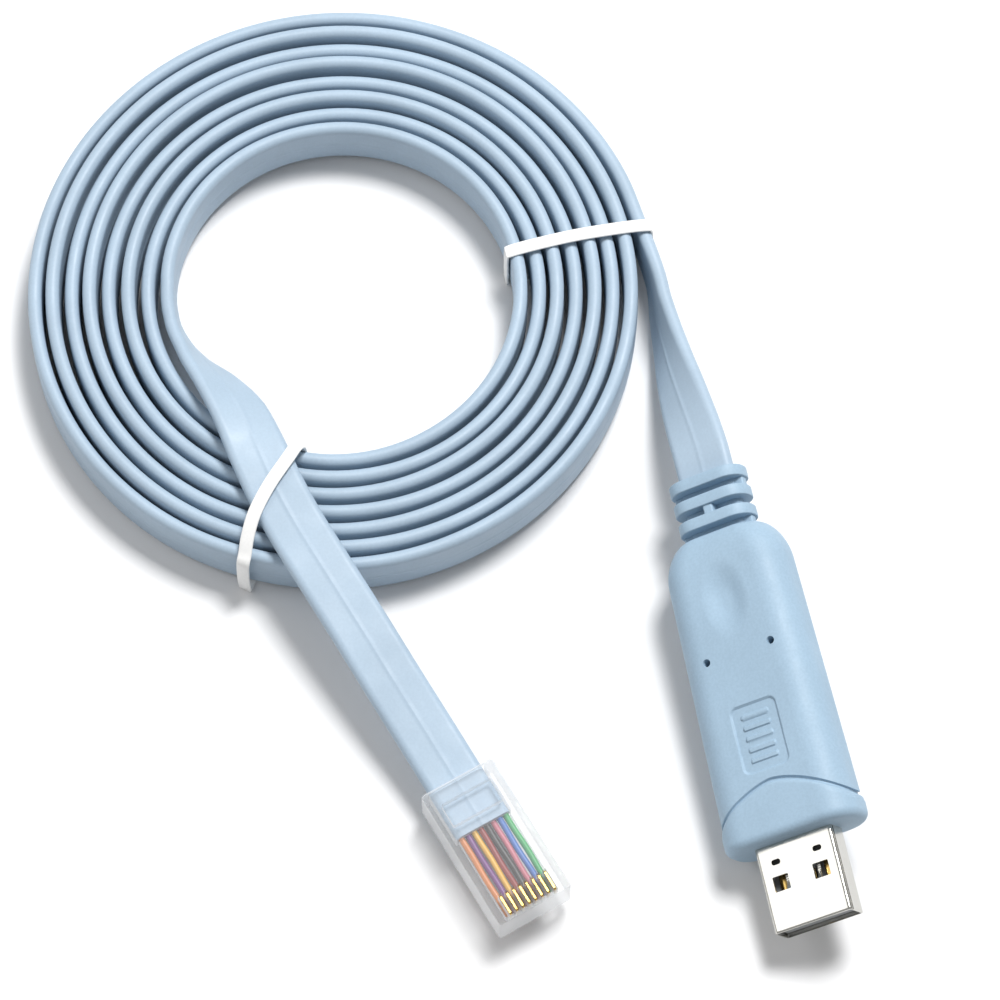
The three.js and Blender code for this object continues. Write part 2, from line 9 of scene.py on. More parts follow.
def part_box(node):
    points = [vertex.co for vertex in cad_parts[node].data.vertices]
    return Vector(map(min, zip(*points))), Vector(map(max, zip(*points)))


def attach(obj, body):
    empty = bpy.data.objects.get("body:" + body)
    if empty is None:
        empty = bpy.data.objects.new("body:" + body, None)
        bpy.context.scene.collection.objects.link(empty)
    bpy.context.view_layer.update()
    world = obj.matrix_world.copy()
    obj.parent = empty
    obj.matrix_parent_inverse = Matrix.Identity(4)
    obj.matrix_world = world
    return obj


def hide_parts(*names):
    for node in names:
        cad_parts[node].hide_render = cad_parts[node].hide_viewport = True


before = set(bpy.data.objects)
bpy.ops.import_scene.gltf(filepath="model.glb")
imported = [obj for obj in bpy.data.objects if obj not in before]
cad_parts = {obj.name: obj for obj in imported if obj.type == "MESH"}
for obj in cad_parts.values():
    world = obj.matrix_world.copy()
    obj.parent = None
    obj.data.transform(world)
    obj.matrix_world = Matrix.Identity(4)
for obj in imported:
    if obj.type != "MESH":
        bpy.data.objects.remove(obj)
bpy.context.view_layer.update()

# The cord: eight fine conductors side by side in one flat jacket of light steel blue PVC, extruded with
# a faint seam along the middle of each broad face. It is wound on its edge into a coil, and each free
# end rolls over on to its face before it goes into its plug.
MM = 0.001
UP = Vector((0, 0, 1))
CORD_WIDTH = 8.6 * MM
CORD_THICKNESS = 2.0 * MM
EDGE_STEPS = 10
SEAM_WIDTH = 0.3 * MM
SEAM_RISE = 0.06 * MM
SEAM_FOOT = 2.2 * SEAM_WIDTH
FLAT_SHARE = 0.94
CORD_STEP = 1.5 * MM
COIL_FIRST_RADIUS = 25.5 * MM
COIL_PITCH = 2.70 * MM
COIL_INNER_END = 0.03
COIL_OUTER_END = 7.46
COIL_POINTS_IN_TURN = 40
LOW_TURN_HEIGHT = 4.36 * MM
HIGH_TURN_RISE = 0.85 * MM
HIGH_TURN_START = 0.20
HIGH_TURN_STEEPNESS = 3
BAND_LIFT = 0.42 * MM
BAND_LIFT_SPREAD = 14
CORD_IN_PLUG = 7.5 * MM
CORD_IN_RELIEF = 1.2 * MM
JACKET_BLUE = (0.365, 0.465, 0.565)

# How far a turn strays from an even spiral, about a place that is counted in turns from its inner end.
STRAYS = (
    {"at": 4.25, "by": 0.28 * MM, "over": 0.20},
    {"at": 1.30, "by": 0.12 * MM, "over": 0.20},
    {"at": 2.72, "by": -0.12 * MM, "over": 0.25},
    {"at": 5.86, "by": 0.12 * MM, "over": 0.18},
    {"at": 2.00, "by": -0.22 * MM, "over": 0.16},
    {"at": 1.02, "by": -0.42 * MM, "over": 0.16},
    {"at": 0.00, "by": -0.50 * MM, "over": 0.12},
)

# Stops of each free end, from the coil to its plug, in millimetres from the coil's middle, and how far
# the cord has rolled over there: 0 degrees stands on its edge and 90 lies flat.
RJ45_LEAD_ROUTE = (
    ((-24.9, 0.5, 5.05), 0),
    ((-23.9, -5.0, 5.4), 6),
    ((-21.0, -10.2, 6.6), 22),
    ((-17.3, -15.2, 8.6), 45),
    ((-13.9, -20.7, 10.3), 68),
    ((-11.2, -26.8, 10.9), 85),
    ((-8.6, -32.6, 10.9), 90),
    ((-5.4, -38.8, 10.9), 90),
    ((-0.8, -46.4, 10.5), 90),
    ((4.2, -54.4, 9.5), 90),
    ((9.2, -62.4, 8.0), 90),
    ((13.8, -69.6, 6.5), 90),
    ((17.7, -76.0, 5.8), 90),
)
USB_LEAD_ROUTE = (
    ((45.9, 8.2, 5.05), 0),
    ((46.6, 3.5, 5.1), 3),
    ((47.4, -2.0, 5.5), 10),
    ((48.4, -7.6, 6.2), 20),
    ((49.4, -13.0, 7.3), 33),
    ((50.5, -18.3, 9.0), 46),
    ((51.7, -23.6, 10.6), 57),
    ((52.72, -27.9, 11.48), 62),
    ((53.5, -31.4, 11.33), 62),
)
UPPER_BAND_BEARING = 11.9
LOWER_BAND_BEARING = -103

# How each plug lies, in degrees: its heading about +Z, its nose down, and its roll about its own length.
USB_POSE = {"heading": 12.5, "dip": 2.9, "roll": 27.9}
RJ45_POSE = {"heading": 30.4, "dip": 0, "roll": 0}

coil_low, coil_high = (Vector(corner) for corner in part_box("cable_coil"))
COIL_MIDDLE = ((coil_low + coil_high) / 2) * Vector((1, 1, 0))


def from_coil(point):
    """A place in metres, from millimetres measured from the coil's middle on the floor."""
    return COIL_MIDDLE + Vector(point) * MM


def plug_frame(heading, dip, roll, end):
    """The frame of a plug: its nose points to -Y, its upper face to +Z, and it starts at end."""
    turned = Matrix.Rotation(math.radians(heading), 4, "Z")
    turned = turned @ Matrix.Rotation(math.radians(dip), 4, "X")
    turned = turned @ Matrix.Rotation(math.radians(-roll), 4, "Y")
    return Matrix.Translation(from_coil(end)) @ turned


USB_FRAME = plug_frame(**USB_POSE, end=USB_LEAD_ROUTE[-1][0])
RJ45_FRAME = plug_frame(**RJ45_POSE, end=RJ45_LEAD_ROUTE[-1][0])


def coil_stop(turns):
    """The cord's middle in the coil, a number of turns from its inner end at the left."""
    angle = math.pi - 2 * math.pi * turns
    radius = COIL_FIRST_RADIUS + COIL_PITCH * turns
    for stray in STRAYS:
        radius += stray["by"] * math.exp(-(((turns - stray["at"]) / stray["over"]) ** 2))
    high = 0.5 + 0.5 * math.tanh(HIGH_TURN_STEEPNESS * math.cos(math.pi * (turns - HIGH_TURN_START)))
    bearing = math.degrees(angle)
    lift = 0
    for band in (UPPER_BAND_BEARING, LOWER_BAND_BEARING):
        apart = (bearing - band + 180) % 360 - 180
        lift = max(lift, math.exp(-((apart / BAND_LIFT_SPREAD) ** 2)))
    height = LOW_TURN_HEIGHT + HIGH_TURN_RISE * high + BAND_LIFT * lift * (1 - high)
    return COIL_MIDDLE + Vector((radius * math.cos(angle), radius * math.sin(angle), height))


def cord_stops():
    """Every stop of the cord, from the USB plug through the coil to the modular plug."""
    stops = [(USB_FRAME @ Vector((0, -CORD_IN_RELIEF, 0)), USB_LEAD_ROUTE[-1][1])]
    stops += [(from_coil(point), turn) for point, turn in reversed(USB_LEAD_ROUTE[1:])]
    count = round((COIL_OUTER_END - COIL_INNER_END) * COIL_POINTS_IN_TURN)
    for i in range(count + 1):
        turns = COIL_OUTER_END + (COIL_INNER_END - COIL_OUTER_END) * i / count
        stops.append((coil_stop(turns), 0))
    stops += [(from_coil(point), turn) for point, turn in RJ45_LEAD_ROUTE]
    stops.append((RJ45_FRAME @ Vector((0, -CORD_IN_PLUG, 0)), 90))
    return stops


def smooth_line(points, step, looped=False):
    """Points about a step apart on a smooth curve through the given vectors."""
    count = len(points)
    line = []
    for i in range(count if looped else count - 1):
        if looped:
            before, start, end, after = (points[(i + k) % count] for k in (-1, 0, 1, 2))
        else:
            before, start, end, after = (points[min(max(i + k, 0), count - 1)] for k in (-1, 0, 1, 2))
        steps = max(1, round((end - start).length / step))
        for k in range(steps):
            t = k / steps
            pull = (end - before) * t + (2 * before - 5 * start + 4 * end - after) * t ** 2
            pull = pull + (3 * start - before - 3 * end + after) * t ** 3
            line.append(start + pull / 2)
    if not looped:
        line.append(points[-1].copy())
    return line


def turns_along(stops):
    """How far the cord has rolled over at each point that smooth_line puts between its stops."""
    turns = []
    for (start, start_turn), (end, end_turn) in zip(stops, stops[1:]):
        steps = max(1, round((end - start).length / CORD_STEP))
        for k in range(steps):
            turns.append(start_turn + (end_turn - start_turn) * (k / steps))
    turns.append(stops[-1][1])
    return turns


def skin(name, rings, looped=False):
    """One closed mesh object over rings of points, each joined to the next."""
    count = len(rings[0])
    points = [point for ring in rings for point in ring]
    faces = []
    for i in range(len(rings) if looped else len(rings) - 1):
        near = i * count
        far = (i + 1) % len(rings) * count
        for j in range(count):
            k = (j + 1) % count
            faces.append((near + j, near + k, far + k, far + j))
    if not looped:
        faces.append(tuple(reversed(range(count))))
        faces.append(tuple(range(len(points) - count, len(points))))
    mesh = bpy.data.meshes.new(name)
    mesh.from_pydata(points, [], faces)
    made = bmesh.new()
    made.from_mesh(mesh)
    bmesh.ops.recalc_face_normals(made, faces=made.faces)
    made.to_mesh(mesh)
    made.free()
    piece = bpy.data.objects.new(name, mesh)
    bpy.context.scene.collection.objects.link(piece)
    return piece


def smooth_shaded(piece, sharpest=35):
    """Shades a piece as smooth but for edges that turn by more than an angle in degrees."""
    made = bmesh.new()
    made.from_mesh(piece.data)
    for face in made.faces:
        face.smooth = True
    for edge in made.edges:
        edge.smooth = len(edge.link_faces) != 2 or edge.calc_face_angle(0) < math.radians(sharpest)
    made.to_mesh(piece.data)
    made.free()
    return piece


def cord_section():
    """Corners of the cord's section: first across its width, then across its thickness."""
    radius = CORD_THICKNESS / 2
    flat = CORD_WIDTH / 2 - radius
    face = ((FLAT_SHARE * flat, 0), (SEAM_FOOT, 0), (SEAM_WIDTH, 0), (SEAM_WIDTH / 3, SEAM_RISE))
    corners = []
    for side in (1, -1):
        for i in range(EDGE_STEPS + 1):
            angle = math.pi * (i / EDGE_STEPS - 0.5)
            corners.append((side * (flat + radius * math.cos(angle)), side * radius * math.sin(angle)))
        for x, rise in face:
            corners.append((side * x, side * (radius + rise)))
        for x, rise in reversed(face):
            corners.append((-side * x, side * (radius + rise)))
    return corners


def cord_rings(line, turns):
    """The cord's section set up at each point of its line, rolled over to its right by its turn."""
    section = cord_section()
    rings = []
    for i, point in enumerate(line):
        run = (line[min(i + 1, len(line) - 1)] - line[max(i - 1, 0)]).normalized()
        left = UP.cross(run).normalized()
        above = run.cross(left).normalized()
        lean = math.radians(-turns[i])
        across = above * math.cos(lean) + left * math.sin(lean)
        face = run.cross(across)
        rings.append([point + across * x + face * y for x, y in section])
    return rings


# The texture of the moulded plastics, in grains or patches to the metre.
CLOUDS = 90
FLECKS = 2600
GLOSS_PATCHES = 240
GLOSS_SPREAD = 0.06
PLASTIC_GLOSS = 0.4
GRAIN_STRENGTH = 0.35


def linked(material, source, target):
    """Joins two sockets of a material, each given as a node and a socket name."""
    material.node_tree.links.new(source[0].outputs[source[1]], target[0].inputs[target[1]])


def noise_in(material, scale, detail, roughness):
    """A noise that stays with the piece, counted in grains to the metre."""
    nodes = material.node_tree.nodes
    place = nodes.new("ShaderNodeTexCoord")
    noise = nodes.new("ShaderNodeTexNoise")
    noise.inputs["Scale"].default_value = scale
    noise.inputs["Detail"].default_value = detail
    noise.inputs["Roughness"].default_value = roughness
    linked(material, (place, "Object"), (noise, "Vector"))
    return noise


def ranged(material, source, low, high, start=0.35, end=0.65):
    """A number that follows a noise between two values."""
    made = material.node_tree.nodes.new("ShaderNodeMapRange")
    made.inputs["From Min"].default_value = start
    made.inputs["From Max"].default_value = end
    made.inputs["To Min"].default_value = low
    made.inputs["To Max"].default_value = high
    linked(material, source, (made, "Value"))
    return made


def moulded_plastic(name, colour, cloud, speckle, roughness, grain_depth):
    """Soft satin plastic: clouded tint, fine speckle, uneven gloss and a fine moulded grain."""
    material = bpy.data.materials.new(name)
    material.use_nodes = True
    shader = material.node_tree.nodes["Principled BSDF"]
    shader.inputs["Specular IOR Level"].default_value = PLASTIC_GLOSS
    nodes = material.node_tree.nodes
    tint = nodes.new("ShaderNodeMix")
    tint.data_type = "RGBA"
    tint.inputs["A"].default_value = (*[c * (1 - cloud) for c in colour], 1)
    tint.inputs["B"].default_value = (*[min(1, c * (1 + cloud)) for c in colour], 1)
    clouds = noise_in(material, CLOUDS, 3, 0.5)
    linked(material, (ranged(material, (clouds, "Fac"), 0, 1), "Result"), (tint, "Factor"))
    fleck = nodes.new("ShaderNodeMix")
    fleck.data_type = "RGBA"
    fleck.blend_type = "MULTIPLY"
    fleck.inputs["B"].default_value = (1 - speckle, 1 - speckle, 1 - speckle, 1)
    grains = noise_in(material, FLECKS, 2, 0.6)
    linked(material, (ranged(material, (grains, "Fac"), 0, 1), "Result"), (fleck, "Factor"))
    linked(material, (tint, "Result"), (fleck, "A"))
    linked(material, (fleck, "Result"), (shader, "Base Color"))
    gloss = noise_in(material, GLOSS_PATCHES, 4, 0.55)
    uneven = ranged(material, (gloss, "Fac"), roughness - GLOSS_SPREAD, roughness + GLOSS_SPREAD)
    linked(material, (uneven, "Result"), (shader, "Roughness"))
    bump = nodes.new("ShaderNodeBump")
    bump.inputs["Strength"].default_value = GRAIN_STRENGTH
    bump.inputs["Distance"].default_value = grain_depth
    linked(material, (grains, "Fac"), (bump, "Height"))
    linked(material, (bump, "Normal"), (shader, "Normal"))
    return material


stops = cord_stops()
cord_line = smooth_line([point for point, turn in stops], CORD_STEP)
jacket = moulded_plastic("cable_jacket", JACKET_BLUE, 0.035, 0.05, 0.5, 0.02 * MM)
cord = smooth_shaded(skin("flat_cord", cord_rings(cord_line, turns_along(stops))))
cord.data.materials.append(jacket)
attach(cord, "root")
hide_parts("cable_coil", "cable_usb_lead", "cable_rj45_lead")


# The two bands: thin flat ties of white plastic, drawn tight round the coil and fused into loops. The
# lower one also holds down the free end that crosses the coil to the modular plug.
BAND_WIDTH = 2.0 * MM
BAND_THICKNESS = 0.42 * MM
BAND_EDGE_STEPS = 4
BAND_STEP = 0.45 * MM
BAND_WHITE = (0.84, 0.84, 0.83)

# The middle of each band, in millimetres from the coil's middle, all the way round its loop.
LOWER_BAND_LOOP = (
    (-5.0, -26.0, 1.1),
    (-4.9, -25.7, 5.0),
    (-5.0, -25.9, 9.5),
    (-5.5, -26.9, 11.9),
    (-6.6, -28.9, 12.45),
    (-9.2, -33.2, 12.6),
    (-11.2, -37.4, 12.3),
    (-12.2, -40.6, 11.0),
    (-12.6, -42.8, 9.75),
    (-12.9, -44.0, 8.9),
    (-13.0, -44.5, 5.0),
    (-12.9, -44.3, 1.1),
    (-12.6, -43.3, 0.28),
    (-9.0, -35.0, 0.24),
    (-5.3, -26.9, 0.28),
)
UPPER_BAND_SECTION = (
    (25.35, 1.1),
    (25.3, 5.0),
    (25.35, 8.9),
    (25.9, 9.62),
    (30.0, 9.75),
    (36.0, 9.86),
    (42.5, 9.78),
    (46.3, 9.62),
    (47.0, 8.9),
    (47.1, 5.0),
    (47.0, 1.1),
    (46.2, 0.28),
    (36.0, 0.24),
    (26.2, 0.28),
)
UPPER_BAND_BOW = 0.5


def band_section():
    """Corners of a band's flat section with its round edges, in and out of its loop."""
    radius = BAND_THICKNESS / 2
    flat = BAND_WIDTH / 2 - radius
    corners = []
    for side in (1, -1):
        for i in range(BAND_EDGE_STEPS + 1):
            angle = math.pi * (i / BAND_EDGE_STEPS - 0.5)
            corners.append((side * (flat + radius * math.cos(angle)), side * radius * math.sin(angle)))
    return corners


def band_loop(name, stops_round, sideways):
    """A band swept round a closed line. sideways is the direction that its width lies in."""
    line = smooth_line(stops_round, BAND_STEP, looped=True)
    rings = []
    for i, point in enumerate(line):
        run = (line[(i + 1) % len(line)] - line[i - 1]).normalized()
        across = (sideways - run * sideways.dot(run)).normalized()
        out = run.cross(across)
        rings.append([point + across * x + out * y for x, y in band_section()])
    return smooth_shaded(skin(name, rings, looped=True), 50)


def upper_band_stops():
    """The upper band's loop stands across the coil and bows a little along it."""
    bearing = math.radians(UPPER_BAND_BEARING)
    out = Vector((math.cos(bearing), math.sin(bearing), 0))
    along = Vector((-math.sin(bearing), math.cos(bearing), 0))
    middle = (UPPER_BAND_SECTION[0][0] + UPPER_BAND_SECTION[9][0]) / 2
    half = UPPER_BAND_SECTION[9][0] - middle
    for reach, height in UPPER_BAND_SECTION:
        bow = UPPER_BAND_BOW * (1 - ((reach - middle) / half) ** 2)
        yield COIL_MIDDLE + (out * reach + along * bow + UP * height) * MM


band_plastic = moulded_plastic("band_white", BAND_WHITE, 0.02, 0.03, 0.42, 0.01 * MM)
upper_angle = math.radians(UPPER_BAND_BEARING)
lower_chord = Vector(LOWER_BAND_LOOP[9]) - Vector(LOWER_BAND_LOOP[1])
bands = {
    "tie_band_upper": band_loop(
        "white_band_upper",
        list(upper_band_stops()),
        Vector((-math.sin(upper_angle), math.cos(upper_angle), 0)),
    ),
    "tie_band_lower": band_loop(
        "white_band_lower",
        [from_coil(point) for point in LOWER_BAND_LOOP],
        lower_chord.cross(UP).normalized(),
    ),
}
for node, band in bands.items():
    band.data.materials.append(band_plastic)
    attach(band, "root")
    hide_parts(node)


# The moulded plug: one piece of light steel blue PVC, injected round the circuit board and the cord. It
# has a tapering handle, a collar with a wavy rear edge in front, and a ringed strain relief behind.
SEAT_GAP = 0.3 * MM
HANDLE_LENGTH = 46 * MM
HANDLE_FRONT_WIDTH = 20.4 * MM
HANDLE_REAR_WIDTH = 18.1 * MM
HANDLE_THICKNESS = 10 * MM
HANDLE_CORNER = 4.2 * MM
SHOULDER_LENGTH = 6 * MM
SHOULDER_STEP = 0.4 * MM
RELIEF_WIDTH = 11.6 * MM
RELIEF_THICKNESS = 6.6 * MM
RELIEF_CORNER = 2.9 * MM
RELIEF_RINGS = 3
RELIEF_RING_LENGTH = 1.7 * MM
RELIEF_SLOT_LENGTH = 1.3 * MM
RELIEF_BRIDGE_WIDTH = 1.5 * MM
RELIEF_BRIDGE_CORNER = 0.3 * MM
RELIEF_BRIDGE_INSET = 0.7 * MM
RELIEF_CORE_WALL = 0.12 * MM
RING_FILLET = 0.16 * MM
COLLAR_RISE = 0.25 * MM
COLLAR_GROOVE = 0.38 * MM
NOSE_FILLET = 1.3 * MM
PLAQUE_WIDTH = 7 * MM
PLAQUE_LENGTH = 9.8 * MM
PLAQUE_CORNER = 1 * MM
PLAQUE_DEPTH = 0.3 * MM
PLAQUE_CENTRE = 14.7 * MM
PLAQUE_EDGE = 0.14 * MM
BAR_COUNT = 5
BAR_LENGTH = 4.2 * MM
BAR_WIDTH = 0.7 * MM
BAR_PITCH = 1.6 * MM
BAR_RISE = 0.24 * MM
PIN_HOLE_RADIUS = 0.55 * MM
PIN_HOLE_DEPTH = 3.2 * MM
PIN_HOLE_OFFSET = 5.05 * MM
PIN_HOLE_PLACE = 27.3 * MM
DIMPLE_WIDTH = 6.8 * MM
DIMPLE_LENGTH = 11.5 * MM
DIMPLE_DEPTH = 0.7 * MM
DIMPLE_PLACE = 35.4 * MM
DIMPLE_FLAT = 0.15
DIMPLE_RIM = 1.08
TOP_COLUMNS = 110
UNDER_COLUMNS = 26
SIDE_COLUMNS = 4
CORNER_COLUMNS = 10
HANDLE_ROW = 0.17 * MM
OVERMOULD_BLUE = (0.325, 0.452, 0.57)
WAVE_BACK = 7.8 * MM
WAVE_DROP = 4.4 * MM
WAVE_POWER = 1.6

HANDLE_REAR = -RELIEF_RINGS * (RELIEF_RING_LENGTH + RELIEF_SLOT_LENGTH)
HANDLE_FRONT = HANDLE_REAR - HANDLE_LENGTH
USB_NOSE = USB_FRAME @ Matrix.Translation((0, -SEAT_GAP, 0))


def eased(value, start, end):
    """0 before start, 1 after end, and a smooth rise between them."""
    share = min(1, max(0, (value - start) / (end - start)))
    return share * share * (3 - 2 * share)


def rounded_section(width, thickness, corner, columns):
    """Corners of a rounded rectangle, from its top face round its right side. columns counts the
    stretches of the top, a side, the underside and a corner."""
    top, side, under, bend = columns
    corner = min(corner, 0.49 * width, 0.49 * thickness)
    x = width / 2 - corner
    z = thickness / 2 - corner
    points = [(-x + 2 * x * i / top, thickness / 2) for i in range(top)]

    def quarter(middle_x, middle_z, start):
        """Adds the points of one round corner."""
        for i in range(bend):
            angle = start - math.pi / 2 * i / bend
            points.append((middle_x + corner * math.cos(angle), middle_z + corner * math.sin(angle)))

    quarter(x, z, math.pi / 2)
    points.extend((width / 2, z - 2 * z * i / side) for i in range(side))
    quarter(x, -z, 0)
    points.extend((x - 2 * x * i / under, -thickness / 2) for i in range(under))
    quarter(-x, -z, -math.pi / 2)
    points.extend((-width / 2, -z + 2 * z * i / side) for i in range(side))
    quarter(-x, z, -math.pi)
    return points


def in_rounded(x, y, width, length, corner, edge):
    """1 inside a rounded rectangle about the origin, 0 outside it, and eased across its edge."""
    dx = abs(x) - (width / 2 - corner)
    dy = abs(y) - (length / 2 - corner)
    outside = math.hypot(max(dx, 0), max(dy, 0)) + min(max(dx, dy), 0) - corner
    return 1 - eased(outside, -edge, edge)


def upper_face_rise(x, y):
    """How far the handle's upper face stands proud at a place: the dimple, the plaque and its bars."""
    back = y - HANDLE_FRONT
    if back > PLAQUE_CENTRE + PLAQUE_LENGTH:
        spread = math.hypot(x / (DIMPLE_WIDTH / 2), (back - DIMPLE_PLACE) / (DIMPLE_LENGTH / 2))
        return -DIMPLE_DEPTH * (1 - eased(spread, DIMPLE_FLAT, DIMPLE_RIM))
    plaque = in_rounded(x, back - PLAQUE_CENTRE, PLAQUE_WIDTH, PLAQUE_LENGTH, PLAQUE_CORNER, PLAQUE_EDGE)
    rise = -PLAQUE_DEPTH * plaque
    for i in range(BAR_COUNT):
        place = PLAQUE_CENTRE + (i - (BAR_COUNT - 1) / 2) * BAR_PITCH
        bar = in_rounded(x, back - place, BAR_LENGTH, BAR_WIDTH, BAR_WIDTH / 2.1, PLAQUE_EDGE / 2)
        rise += BAR_RISE * bar
    return rise


def wave_back(x):
    """How far behind the nose the collar's rear edge lies, at a distance from the middle."""
    share = min(1, abs(x) / (HANDLE_FRONT_WIDTH / 2))
    return WAVE_BACK - WAVE_DROP * share ** WAVE_POWER


def handle_size(back):
    """The handle's width and thickness at a distance in front of its rear end."""
    taper = min(1, back / HANDLE_LENGTH)
    width = HANDLE_REAR_WIDTH + (HANDLE_FRONT_WIDTH - HANDLE_REAR_WIDTH) * taper
    inside = max(0, 1 - back / SHOULDER_LENGTH)
    round_off = math.sqrt(max(0, 1 - inside ** 2))
    start_width = RELIEF_WIDTH - SHOULDER_STEP
    start_thickness = RELIEF_THICKNESS - SHOULDER_STEP
    return (
        start_width + (width - start_width) * round_off,
        start_thickness + (HANDLE_THICKNESS - start_thickness) * round_off,
    )


# Rows round the collar's rear edge: how far in front of it each lies, and how proud the skin is there.
COLLAR_ROWS = (
    (-0.62 * MM, 0),
    (-0.50 * MM, -0.3 * COLLAR_GROOVE),
    (-0.42 * MM, -0.85 * COLLAR_GROOVE),
    (-0.30 * MM, -COLLAR_GROOVE),
    (-0.10 * MM, -COLLAR_GROOVE),
    (0, -0.8 * COLLAR_GROOVE),
    (0.04 * MM, 0),
    (0.12 * MM, 0.55 * COLLAR_RISE),
    (0.26 * MM, 0.85 * COLLAR_RISE),
    (0.45 * MM, 0.97 * COLLAR_RISE),
    (0.70 * MM, COLLAR_RISE),
)
STRAIGHT_ROWS_END = 9.4 * MM


def handle_rings():
    """Rings of the handle from its rear end to the nose. The rows bend to follow the collar's edge."""
    columns = (TOP_COLUMNS, SIDE_COLUMNS, UNDER_COLUMNS, CORNER_COLUMNS)
    rings = []

    def ring(back, grown, place):
        """Adds the ring of one row. place gives how far along the plug each of its points lies."""
        width, thickness = handle_size(back)
        section = rounded_section(width + 2 * grown, thickness + 2 * grown, HANDLE_CORNER + grown, columns)
        points = []
        for i, (x, z) in enumerate(section):
            y = place(x)
            rise = upper_face_rise(x, y) if i <= TOP_COLUMNS else 0
            points.append(USB_NOSE @ Vector((x, y, z + rise)))
        rings.append(points)

    shoulder_rows = 26
    for i in range(shoulder_rows + 1):
        back = SHOULDER_LENGTH * (1 - math.cos(math.pi / 2 * i / shoulder_rows))
        ring(back, 0, lambda x, back=back: HANDLE_REAR - back)
    straight = HANDLE_LENGTH - SHOULDER_LENGTH - STRAIGHT_ROWS_END
    rows = round(straight / HANDLE_ROW)
    for i in range(1, rows + 1):
        back = SHOULDER_LENGTH + straight * i / rows
        ring(back, 0, lambda x, back=back: HANDLE_REAR - back)
    blend_rows = 10
    first = COLLAR_ROWS[0][0]
    for i in range(1, blend_rows):
        share = i / blend_rows

        def between(x, share=share):
            """A row's place, part of the way from a straight row to the collar's wave."""
            from_y = HANDLE_FRONT + STRAIGHT_ROWS_END
            to_y = HANDLE_FRONT + wave_back(x) - first
            return from_y + (to_y - from_y) * share

        ring(HANDLE_LENGTH - STRAIGHT_ROWS_END * (1 - share / 2), 0, between)
    for ahead, rise in COLLAR_ROWS:
        middle = HANDLE_LENGTH - wave_back(0) / 2
        ring(middle, rise, lambda x, ahead=ahead: HANDLE_FRONT + wave_back(x) - ahead)
    nose_rows = 16
    last = COLLAR_ROWS[-1][0]
    for i in range(1, nose_rows + 1):
        share = i / nose_rows

        def ahead_of_wave(x, share=share):
            """A row's place, part of the way from the collar's wave to the nose."""
            from_y = HANDLE_FRONT + wave_back(x) - last
            to_y = HANDLE_FRONT + NOSE_FILLET
            return from_y + (to_y - from_y) * share

        ring(HANDLE_LENGTH, COLLAR_RISE, ahead_of_wave)
    fillet_rows = 8
    for i in range(1, fillet_rows + 1):
        angle = math.pi / 2 * i / fillet_rows
        inset = NOSE_FILLET * (1 - math.cos(angle))
        y = HANDLE_FRONT + NOSE_FILLET * (1 - math.sin(angle))
        ring(HANDLE_LENGTH, COLLAR_RISE - inset, lambda x, y=y: y)
    return rings


def filleted_bar(name, width, thickness, corner, back, front, fillet, frame_of):
    """A short rounded bar along a plug's length, with its end edges rolled over."""
    columns = (12, 4, 12, 6)
    rings = []
    steps = 4
    for i in range(steps + 1):
        angle = math.pi / 2 * i / steps
        inset = fillet * (1 - math.sin(angle))
        y = back - fillet * (1 - math.cos(angle))
        section = rounded_section(width - 2 * inset, thickness - 2 * inset, corner, columns)
        rings.append([frame_of @ Vector((x, y, z)) for x, z in section])
    for i in range(steps + 1):
        angle = math.pi / 2 * (1 - i / steps)
        inset = fillet * (1 - math.sin(angle))
        y = front + fillet * (1 - math.cos(angle))
        section = rounded_section(width - 2 * inset, thickness - 2 * inset, corner, columns)
        rings.append([frame_of @ Vector((x, y, z)) for x, z in section])
    return skin(name, rings)


def merged(piece, others, operation):
    """Joins or cuts a piece with other closed pieces, which are then removed."""
    for other in others:
        change = piece.modifiers.new(operation.lower(), "BOOLEAN")
        change.operation = operation
        change.solver = "MANIFOLD"
        change.object = other
        depsgraph = bpy.context.evaluated_depsgraph_get()
        mesh = bpy.data.meshes.new_from_object(piece.evaluated_get(depsgraph))
        piece.modifiers.clear()
        old = piece.data
        piece.data = mesh
        bpy.data.meshes.remove(old)
        bpy.data.objects.remove(other)
    return piece


def relief_pieces():
    """The strain relief: rings on a core, bridged in turn at both edges and in the middle."""
    core_width = CORD_WIDTH + 2 * RELIEF_CORE_WALL
    core_thickness = CORD_THICKNESS + 2 * RELIEF_CORE_WALL
    front = HANDLE_REAR - MM
    pieces = [
        filleted_bar("core", core_width, core_thickness, core_thickness / 2, 0, front, 0.1 * MM, USB_NOSE)
    ]
    pitch = RELIEF_RING_LENGTH + RELIEF_SLOT_LENGTH
    for i in range(RELIEF_RINGS):
        back = -i * pitch
        size = (RELIEF_WIDTH, RELIEF_THICKNESS, RELIEF_CORNER)
        pieces.append(
            filleted_bar("ring", *size, back, back - RELIEF_RING_LENGTH, RING_FILLET, USB_NOSE)
        )
        slot_back = back - RELIEF_RING_LENGTH + RING_FILLET
        slot_front = back - pitch - RING_FILLET
        if i % 2 == 1:
            size = (RELIEF_BRIDGE_WIDTH, RELIEF_THICKNESS - RELIEF_BRIDGE_INSET, RELIEF_BRIDGE_CORNER)
        else:
            size = (RELIEF_WIDTH - RELIEF_BRIDGE_INSET, RELIEF_BRIDGE_WIDTH, RELIEF_BRIDGE_CORNER)
        pieces.append(filleted_bar("bridge", *size, slot_back, slot_front, 0.05 * MM, USB_NOSE))
    return pieces


